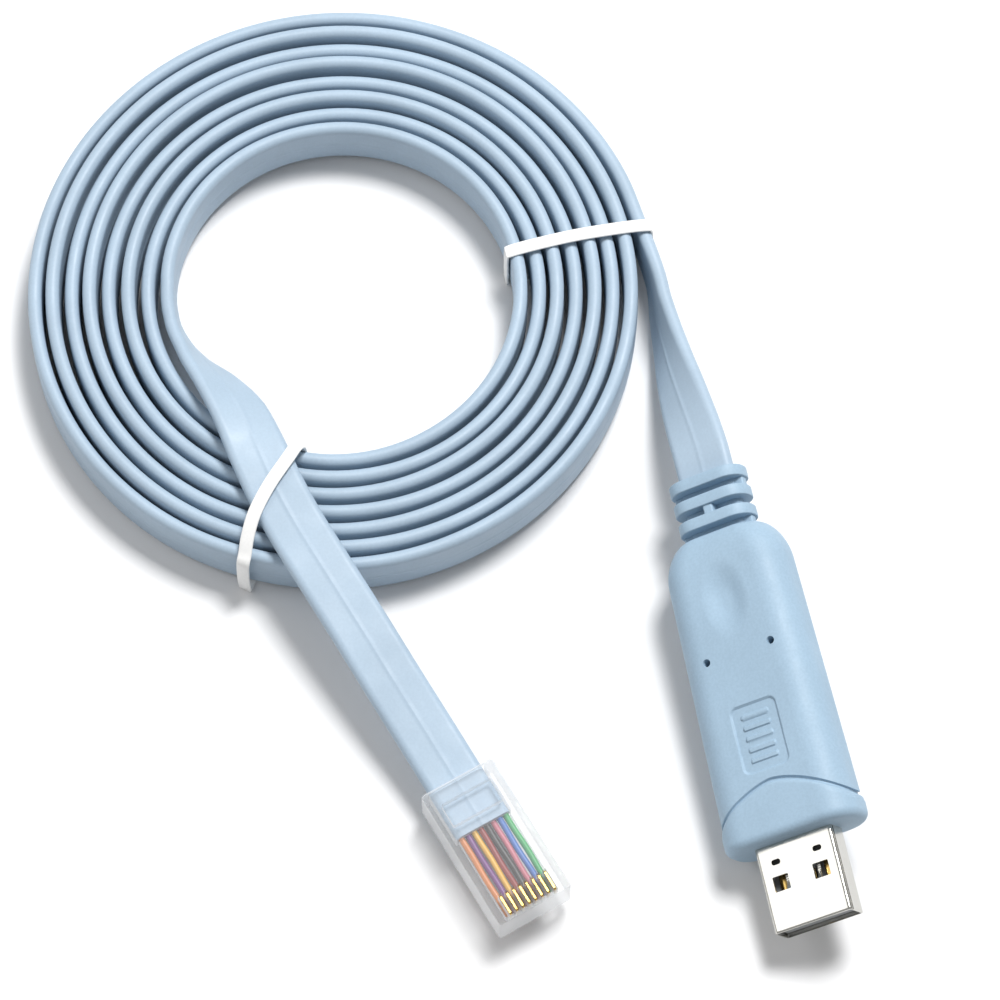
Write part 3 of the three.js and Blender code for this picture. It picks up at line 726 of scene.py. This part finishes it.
def pin_hole(side):
    """The cutter for one of the two round marks that the mould's pins left."""
    rings = []
    middle = Vector((side * PIN_HOLE_OFFSET, HANDLE_FRONT + PIN_HOLE_PLACE, HANDLE_THICKNESS / 2))
    sides = 28
    for height, grown in ((1.0, 0.1), (0.02, 0.04), (-0.08, 0), (-PIN_HOLE_DEPTH / MM, 0)):
        radius = PIN_HOLE_RADIUS + grown * MM
        ring = []
        for i in range(sides):
            angle = 2 * math.pi * i / sides
            around = Vector((radius * math.cos(angle), radius * math.sin(angle), height * MM))
            ring.append(USB_NOSE @ (middle + around))
        rings.append(ring)
    return skin("pin_hole", rings)


housing = skin("moulded_plug", handle_rings())
merged(housing, relief_pieces(), "UNION")
merged(housing, [pin_hole(-1), pin_hole(1)], "DIFFERENCE")
smooth_shaded(housing, 40)
overmould = moulded_plastic("usb_overmould", OVERMOULD_BLUE, 0.03, 0.07, 0.55, 0.03 * MM)
housing.data.materials.clear()
housing.data.materials.append(overmould)
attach(housing, "root")
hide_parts("usb_housing")


# The USB plug's nose: a folded steel shell with a bright nickel plate, a grey insulating tongue on its
# floor, and four gilt contact strips that lie in grooves of the tongue.
SHELL_WIDTH = 12 * MM
SHELL_HEIGHT = 4.5 * MM
SHELL_WALL = 0.3 * MM
SHELL_CORNER = 0.6 * MM
SHELL_LENGTH = 12.4 * MM
SHELL_LIP = 0.12 * MM
WINDOW_WIDTH = 2.4 * MM
WINDOW_LENGTH = 2.2 * MM
WINDOW_OFFSET = 3.1 * MM
WINDOW_PLACE = 5.7 * MM
SLOT_WIDTH = 1.35 * MM
SLOT_LENGTH = 0.8 * MM
SLOT_OFFSET = 3.2 * MM
SLOT_PLACE = 2.6 * MM
SPRING_WIDTH = 0.55 * MM
SPRING_THICKNESS = 0.2 * MM
SPRING_INSET = 0.7 * MM
SPRING_DROP = 0.75 * MM
SEAM_DEPTH = 0.24 * MM
SEAM_GAP = 0.26 * MM
TONGUE_THICKNESS = 1.9 * MM
TONGUE_SETBACK = 0.6 * MM
FINE_GAP = 0.15 * MM
NICKEL = (0.62, 0.61, 0.57)
TONGUE_GREY = (0.27, 0.28, 0.29)
GOLD = (0.62, 0.42, 0.14)


def prism(name, outline, low, high, frame_of):
    """A flat outline in a plug's X and Y plane, run from one height to another."""
    rings = [[frame_of @ Vector((x, y, z)) for x, y in outline] for z in (low, high)]
    return skin(name, rings)


def round_outline(x, y, width, length, corner, steps=5):
    """A rounded rectangle about a place, as corners in order."""
    points = []
    for quarter, (sx, sy) in enumerate(((1, 1), (-1, 1), (-1, -1), (1, -1))):
        for i in range(steps + 1):
            angle = math.pi / 2 * (quarter + i / steps)
            points.append((
                x + sx * (width / 2 - corner) + corner * math.cos(angle),
                y + sy * (length / 2 - corner) + corner * math.sin(angle),
            ))
    return points


def shell_ring(y, grown, inner=False):
    """A section of the shell's outer or inner surface across its length."""
    columns = (16, 4, 16, 6)
    shrink = 2 * SHELL_WALL if inner else 0
    corner = SHELL_CORNER - SHELL_WALL if inner else SHELL_CORNER
    size = (SHELL_WIDTH - shrink + 2 * grown, SHELL_HEIGHT - shrink + 2 * grown)
    section = rounded_section(*size, corner + max(grown, -0.2 * MM), columns)
    return [USB_NOSE @ Vector((x, y, z)) for x, z in section]


def steel_shell():
    """The shell as one loop of rings: along its outside, over its lip and back along its inside."""
    back = HANDLE_FRONT + 0.6 * MM
    front = HANDLE_FRONT - SHELL_LENGTH
    rings = []
    for y in (back, front + 1.5 * MM, front + 3 * SHELL_LIP):
        rings.append(shell_ring(y, 0))
    for i in range(1, 5):
        angle = math.pi / 2 * i / 4
        inset = SHELL_LIP * (1 - math.cos(angle))
        rings.append(shell_ring(front + SHELL_LIP * (1 - math.sin(angle)), -inset))
    for y in (front, front + 3 * SHELL_LIP, back):
        rings.append(shell_ring(y, 0, inner=True))
    shell = skin("steel_shell", rings, looped=True)
    cutters = []
    for side in (-1, 1):
        window = round_outline(
            side * WINDOW_OFFSET, HANDLE_FRONT - WINDOW_PLACE, WINDOW_WIDTH, WINDOW_LENGTH, 0.15 * MM
        )
        cutters.append(prism("window", window, -SHELL_HEIGHT, SHELL_HEIGHT, USB_NOSE))
        slot = round_outline(
            side * SLOT_OFFSET, HANDLE_FRONT - SLOT_PLACE, SLOT_WIDTH, SLOT_LENGTH, 0.35 * MM
        )
        cutters.append(prism("slot", slot, 0, SHELL_HEIGHT, USB_NOSE))
    seam_height = SHELL_HEIGHT / 2 - SHELL_CORNER
    seam = (
        (SHELL_WIDTH / 2 - SEAM_DEPTH, front - MM),
        (SHELL_WIDTH / 2 + MM, front - MM),
        (SHELL_WIDTH / 2 + MM, back - 0.7 * MM),
        (SHELL_WIDTH / 2 - SEAM_DEPTH, back - 0.7 * MM),
    )
    cutters.append(prism("seam", seam, seam_height - SEAM_GAP / 2, seam_height + SEAM_GAP / 2, USB_NOSE))
    return merged(shell, cutters, "DIFFERENCE")


def window_spring(side):
    """A spring leaf, cut free of the shell, that slopes down inside its window."""
    half = SPRING_WIDTH / 2
    start = HANDLE_FRONT - WINDOW_PLACE - WINDOW_LENGTH / 2 - 0.15 * MM
    length = WINDOW_LENGTH + 0.3 * MM
    top = SHELL_HEIGHT / 2 - SHELL_WALL
    rows = 8
    rings = []
    for i in range(rows + 1):
        share = i / rows
        y = start + length * share
        drop = SPRING_DROP * math.sin(math.pi * 0.6 * share) + 0.02 * MM
        z = top - drop
        x = side * WINDOW_OFFSET - side * SPRING_INSET
        rings.append([
            USB_NOSE @ Vector((x - half, y, z - SPRING_THICKNESS)),
            USB_NOSE @ Vector((x + half, y, z - SPRING_THICKNESS)),
            USB_NOSE @ Vector((x + half, y, z)),
            USB_NOSE @ Vector((x - half, y, z)),
        ])
    return skin(f"window_spring_{'left' if side < 0 else 'right'}", rings)


def bright_metal(name, colour, roughness, streak):
    """Plated metal: fine drawn streaks along it, with soft uneven patches in its polish."""
    material = bpy.data.materials.new(name)
    material.use_nodes = True
    shader = material.node_tree.nodes["Principled BSDF"]
    shader.inputs["Base Color"].default_value = (*colour, 1)
    shader.inputs["Metallic"].default_value = 1
    cloud = noise_in(material, 180, 4, 0.6)
    patchy = ranged(material, (cloud, "Fac"), roughness * 0.75, roughness * 1.35)
    linked(material, (patchy, "Result"), (shader, "Roughness"))
    grain = noise_in(material, 1500, 3, 0.6)
    bump = material.node_tree.nodes.new("ShaderNodeBump")
    bump.inputs["Strength"].default_value = 0.3
    bump.inputs["Distance"].default_value = streak
    linked(material, (grain, "Fac"), (bump, "Height"))
    linked(material, (bump, "Normal"), (shader, "Normal"))
    return material


shell_floor = -SHELL_HEIGHT / 2 + SHELL_WALL
tongue_top = shell_floor + FINE_GAP + TONGUE_THICKNESS
USB_CONTACTS = ((-3.5, 7.4), (-1.0, 6.4), (1.0, 6.4), (3.5, 7.4))
CONTACT_WIDTH = 1.0 * MM
CONTACT_THICKNESS = 0.2 * MM


def tongue():
    """The insulating tongue, with a chamfered nose and a shallow groove under each contact."""
    width = SHELL_WIDTH - 2 * SHELL_WALL - 2 * FINE_GAP
    back = HANDLE_FRONT - SEAT_GAP
    front = HANDLE_FRONT - SHELL_LENGTH + TONGUE_SETBACK
    floor = tongue_top - TONGUE_THICKNESS
    nose = 0.35 * MM
    outline = (
        (back, floor), (back, tongue_top), (front + nose, tongue_top),
        (front, tongue_top - nose), (front, floor + nose / 2), (front + nose / 2, floor),
    )
    rings = []
    for x in (-width / 2, width / 2):
        rings.append([USB_NOSE @ Vector((x, y, z)) for y, z in outline])
    made = skin("tongue", rings)
    cutters = []
    for offset, length in USB_CONTACTS:
        y = front + TONGUE_SETBACK + length * MM / 2
        groove = round_outline(offset * MM, y, CONTACT_WIDTH + 0.3 * MM, length * MM + 0.4 * MM, 0.1 * MM)
        cutters.append(prism("groove", groove, tongue_top - 0.25 * MM, tongue_top + MM, USB_NOSE))
    return merged(made, cutters, "DIFFERENCE")


def contact_strip(index):
    """A contact strip with a rolled front end that dips into the tongue's groove."""
    offset, length = USB_CONTACTS[index]
    front = HANDLE_FRONT - SHELL_LENGTH + 2 * TONGUE_SETBACK
    rows = 14
    rings = []
    for i in range(rows + 1):
        share = i / rows
        y = front + length * MM * share
        dip = 0.3 * MM * max(0, 1 - share * 7) ** 2
        z = tongue_top + FINE_GAP - dip
        half = CONTACT_WIDTH / 2 * (0.8 + 0.2 * min(1, share * 8))
        low = z - CONTACT_THICKNESS / 4
        high = z + CONTACT_THICKNESS
        rings.append([
            USB_NOSE @ Vector((offset * MM + x, y, height))
            for x, height in ((-half, low), (half, low), (half, high - 0.04 * MM), (half * 0.85, high),
                              (-half * 0.85, high), (-half, high - 0.04 * MM))
        ])
    return smooth_shaded(skin(f"contact_strip_{index + 1}", rings), 40)


nickel = bright_metal("nickel_shell", NICKEL, 0.2, 0.004 * MM)
gilt = bright_metal("contact_gold", GOLD, 0.24, 0.003 * MM)
insulator = moulded_plastic("tongue_insulator", TONGUE_GREY, 0.05, 0.05, 0.5, 0.01 * MM)
shell = smooth_shaded(steel_shell(), 40)
springs = [window_spring(side) for side in (-1, 1)]
shell_parts = [shell, *springs]
for part in shell_parts:
    part.data.materials.clear()
    part.data.materials.append(nickel)
    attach(part, "root")
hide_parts("usb_shell")
tongue_piece = smooth_shaded(tongue(), 30)
tongue_piece.data.materials.clear()
tongue_piece.data.materials.append(insulator)
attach(tongue_piece, "root")
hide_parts("usb_tongue")
for i in range(len(USB_CONTACTS)):
    strip = contact_strip(i)
    strip.data.materials.append(gilt)
    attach(strip, "root")
    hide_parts(f"usb_contact_{i + 1}")


# The modular plug: one piece of clear polycarbonate, moulded hollow with a springy latch underneath, and
# pressed on to the cord's end. Eight gilt blades stand in slots of its nose, each through its conductor.
PLUG_WIDTH = 11.68 * MM
PLUG_LENGTH = 22 * MM
PLUG_ABOVE = 3.0 * MM
PLUG_BELOW = 3.6 * MM
PLUG_EDGE = 0.5 * MM
WIRE_COLOURS = {
    "orange": (0.62, 0.22, 0.06),
    "violet": (0.17, 0.04, 0.22),
    "yellow": (0.72, 0.42, 0.03),
    "brown": (0.28, 0.025, 0.02),
    "grey": (0.045, 0.042, 0.042),
    "pink": (0.52, 0.15, 0.20),
    "blue": (0.05, 0.16, 0.48),
    "green": (0.05, 0.36, 0.12),
}
WIRE_RADIUS = 0.45 * MM
WIRE_PITCH = 1.02 * MM
WIRE_FRONT_WALL = 1.5 * MM
BLADE_THICKNESS = 0.3 * MM
BLADE_LENGTH = 3.1 * MM
BLADE_HEIGHT = 2.0 * MM
BLADE_FRONT_WALL = 0.7 * MM
BLADE_SINK = 0.3 * MM
GRIP_WIDTH = 8 * MM
GRIP_LENGTH = 3.6 * MM
GRIP_DEPTH = 1.3 * MM
GRIP_PLACE = 4.4 * MM
LATCH_WIDTH = 6.2 * MM
LATCH_THICKNESS = 1.0 * MM
LATCH_DROP = 2.2 * MM
LATCH_ROOT = 3 * MM
LATCH_END = 1.5 * MM
CLEAR = (0.96, 0.98, 1.0)


def wire_x(index):
    """Where a conductor lies across the plug."""
    return (index - (len(WIRE_COLOURS) - 1) / 2) * WIRE_PITCH


def across_plug(name, outline, width):
    """An outline in the plug's Y and Z plane, run across it."""
    rings = []
    for x in (-width / 2, width / 2):
        rings.append([RJ45_FRAME @ Vector((x, y, z)) for y, z in outline])
    return skin(name, rings)


def clear_block():
    """The plug's outer body, with every edge rolled over."""
    columns = (14, 6, 14, 5)
    rings = []
    height = PLUG_ABOVE + PLUG_BELOW
    rise = (PLUG_ABOVE - PLUG_BELOW) / 2
    steps = 4
    for end in (0, 1):
        for i in range(steps + 1):
            step = i if end == 0 else steps - i
            angle = math.pi / 2 * step / steps
            inset = PLUG_EDGE * (1 - math.sin(angle))
            depth = PLUG_EDGE * (1 - math.cos(angle))
            y = -depth if end == 0 else -PLUG_LENGTH + depth
            section = rounded_section(
                PLUG_WIDTH - 2 * inset, height - 2 * inset, PLUG_EDGE, columns
            )
            rings.append([RJ45_FRAME @ Vector((x, y, z + rise)) for x, z in section])
    return skin("clear_plug", rings)


def latch():
    """The latch springs from the front of the underside and slants back and down to a free end."""
    root_front = -PLUG_LENGTH + PLUG_EDGE
    root_back = root_front + LATCH_ROOT
    under = -PLUG_BELOW
    free = under - LATCH_DROP
    outline = (
        (root_front, under + 0.5 * MM),
        (root_front, under - LATCH_THICKNESS / 2),
        (root_front + LATCH_THICKNESS, under - LATCH_THICKNESS),
        (-LATCH_END - 0.3 * MM, free),
        (-LATCH_END, free + 0.3 * MM),
        (-LATCH_END, free + LATCH_THICKNESS),
        (root_back, under - SEAT_GAP / 2),
        (root_back, under + 0.5 * MM),
    )
    return across_plug("latch", outline, LATCH_WIDTH)


def clear_body():
    """The clear body: its block and latch, less the cord's pocket, the grip's dent and the slots."""
    body = merged(clear_block(), [latch()], "UNION")
    cutters = []
    pocket_size = (CORD_WIDTH + 0.4 * MM, CORD_IN_PLUG + 1.4 * MM, 0.3 * MM)
    pocket = round_outline(0, -CORD_IN_PLUG / 2 + 0.5 * MM, *pocket_size)
    cutters.append(prism("pocket", pocket, -1.25 * MM, 1.25 * MM, RJ45_FRAME))
    wire_front = -PLUG_LENGTH + WIRE_FRONT_WALL
    row_width = (len(WIRE_COLOURS) - 1) * WIRE_PITCH + 2 * WIRE_RADIUS + 0.3 * MM
    room_length = -wire_front - CORD_IN_PLUG + MM
    room = round_outline(0, (wire_front - CORD_IN_PLUG) / 2, row_width, room_length, 0.2 * MM)
    cutters.append(prism("room", room, -0.65 * MM, 0.65 * MM, RJ45_FRAME))
    grip = round_outline(0, -GRIP_PLACE, GRIP_WIDTH, GRIP_LENGTH, 0.25 * MM)
    cutters.append(prism("grip", grip, PLUG_ABOVE - GRIP_DEPTH, PLUG_ABOVE + MM, RJ45_FRAME))
    blade_y = -PLUG_LENGTH + BLADE_FRONT_WALL + BLADE_LENGTH / 2
    slot_floor = PLUG_ABOVE - BLADE_SINK - BLADE_HEIGHT + 0.3 * MM
    slot_size = (BLADE_THICKNESS + 0.3 * MM, BLADE_LENGTH + 0.3 * MM, 0.05 * MM)
    for i in range(len(WIRE_COLOURS)):
        slot = round_outline(wire_x(i), blade_y, *slot_size)
        cutters.append(prism("slot", slot, slot_floor, PLUG_ABOVE + MM, RJ45_FRAME))
    return merged(body, cutters, "DIFFERENCE")


def clear_plastic():
    """Polished clear plastic: what lies behind shows through, and edges and slants catch the light."""
    material = bpy.data.materials.new("clear_plastic")
    material.use_nodes = True
    nodes = material.node_tree.nodes
    shader = nodes["Principled BSDF"]
    shader.inputs["Base Color"].default_value = (*CLEAR, 1)
    shader.inputs["Roughness"].default_value = 0.06
    shader.inputs["IOR"].default_value = 1.5
    slant = nodes.new("ShaderNodeLayerWeight")
    slant.inputs["Blend"].default_value = 0.35
    share = ranged(material, (slant, "Facing"), 0.04, 0.85, 0.0, 1.0)
    linked(material, (share, "Result"), (shader, "Alpha"))
    return material


def conductor(index, name):
    """An insulated conductor that waves a little between the jacket's end and its blade."""
    start = -CORD_IN_PLUG + 0.6 * MM
    end = -PLUG_LENGTH + WIRE_FRONT_WALL
    rows = 40
    sides = 14
    rings = []
    for i in range(rows + 1):
        share = i / rows
        sway = 0.07 * MM * math.sin(2 * math.pi * (1.3 * share + 0.37 * index))
        x = wire_x(index) + sway * math.sin(math.pi * share)
        y = start + (end - start) * share
        ring = []
        for k in range(sides):
            angle = 2 * math.pi * k / sides
            ring.append(RJ45_FRAME @ Vector((
                x + WIRE_RADIUS * math.cos(angle), y, WIRE_RADIUS * math.sin(angle)
            )))
        rings.append(ring)
    return smooth_shaded(skin(f"conductor_{name}", rings), 50)


def blade(index):
    """A gilt blade whose upper edge is crowned and whose foot is cut to two teeth."""
    front = -PLUG_LENGTH + BLADE_FRONT_WALL
    top = PLUG_ABOVE - BLADE_SINK
    foot = top - BLADE_HEIGHT
    outline = [(front, foot + 0.5 * MM), (front, top - 0.35 * MM)]
    for i in range(1, 6):
        angle = math.pi / 2 * (1 - i / 6)
        outline.append((front + 0.35 * MM * (1 - math.sin(angle)), top - 0.35 * MM * (1 - math.cos(angle))))
    outline += [
        (front + BLADE_LENGTH - 0.2 * MM, top),
        (front + BLADE_LENGTH, top - 0.2 * MM),
        (front + BLADE_LENGTH, foot + 0.5 * MM),
        (front + 0.75 * BLADE_LENGTH, foot),
        (front + 0.5 * BLADE_LENGTH, foot + 0.5 * MM),
        (front + 0.25 * BLADE_LENGTH, foot),
    ]
    made = across_plug(f"contact_blade_{index + 1}", outline, BLADE_THICKNESS)
    for vertex in made.data.vertices:
        vertex.co += RJ45_FRAME.to_3x3() @ Vector((wire_x(index), 0, 0))
    return made


clear = clear_plastic()
plug_body = smooth_shaded(clear_body(), 30)
plug_body.data.materials.clear()
plug_body.data.materials.append(clear)
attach(plug_body, "root")
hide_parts("rj45_body")
plug_pieces = [plug_body]
for i, (name, colour) in enumerate(WIRE_COLOURS.items()):
    wire = conductor(i, name)
    wire.data.materials.append(moulded_plastic(f"wire_{name}", colour, 0.06, 0.05, 0.35, 0.01 * MM))
    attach(wire, "root")
    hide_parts(f"wire_{name}")
    contact = blade(i)
    contact.data.materials.append(gilt)
    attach(contact, "root")
    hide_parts(f"rj45_contact_{i + 1}")
    plug_pieces += [wire, contact]


# The table that the cable lies on: a smooth sheet of white board under a wide lamp, high at the upper
# right, with a soft panel low at the left, in a dim white tent. None of it is part of the cable.
FLOOR_SIZE = 3.0
FLOOR_WHITE = (0.80, 0.80, 0.805)
KEY_PLACE = (0.26, 0.40, 1.0)
KEY_SIZE = 0.34
KEY_POWER = 14.0
SIDE_PLACE = (-0.78, 0.10, 0.62)
SIDE_SIZE = 0.62
SIDE_POWER = 2.0
TENT_STRENGTH = 0.38
CAMERA_ELEVATION = 67
CAMERA_DISTANCE = 699.3
CAMERA_AIM = (23.83, -30.2, 0)
CAMERA_LENS = 172.8
CAMERA_SENSOR = 36


def aimed(thing, place, target):
    """Sets a lamp or camera at a place so that it looks at a target."""
    thing.location = place
    thing.rotation_mode = "QUATERNION"
    thing.rotation_quaternion = (target - place).to_track_quat("-Z", "Y")
    bpy.context.scene.collection.objects.link(thing)


floor_mesh = bpy.data.meshes.new("white_board")
half = FLOOR_SIZE / 2
floor_mesh.from_pydata(
    [(-half, -half, 0), (half, -half, 0), (half, half, 0), (-half, half, 0)], [], [(0, 1, 2, 3)]
)
floor = bpy.data.objects.new("white_board", floor_mesh)
bpy.context.scene.collection.objects.link(floor)
board = bpy.data.materials.new("white_board")
board.use_nodes = True
board_shader = board.node_tree.nodes["Principled BSDF"]
board_shader.inputs["Base Color"].default_value = (*FLOOR_WHITE, 1)
board_shader.inputs["Roughness"].default_value = 0.8
board_shader.inputs["Specular IOR Level"].default_value = 0.1
floor.data.materials.append(board)

aim = from_coil(CAMERA_AIM)
key = bpy.data.lights.new("key_lamp", "AREA")
key.energy = KEY_POWER
key.size = KEY_SIZE
aimed(bpy.data.objects.new("key_lamp", key), aim + Vector(KEY_PLACE), aim)
side_panel = bpy.data.lights.new("side_panel", "AREA")
side_panel.energy = SIDE_POWER
side_panel.size = SIDE_SIZE
aimed(bpy.data.objects.new("side_panel", side_panel), aim + Vector(SIDE_PLACE), aim)

tent = bpy.data.worlds.new("white_tent")
tent.use_nodes = True
tent.node_tree.nodes["Background"].inputs["Color"].default_value = (1, 1, 1, 1)
tent.node_tree.nodes["Background"].inputs["Strength"].default_value = TENT_STRENGTH
bpy.context.scene.world = tent
bpy.context.scene.view_settings.view_transform = "Standard"

elevation = math.radians(CAMERA_ELEVATION)
behind = Vector((0, -math.cos(elevation), math.sin(elevation)))
lens = bpy.data.cameras.new("camera")
lens.lens = CAMERA_LENS
lens.sensor_width = CAMERA_SENSOR
camera = bpy.data.objects.new("camera", lens)
aimed(camera, aim + behind * CAMERA_DISTANCE * MM, aim)
bpy.context.scene.camera = camera
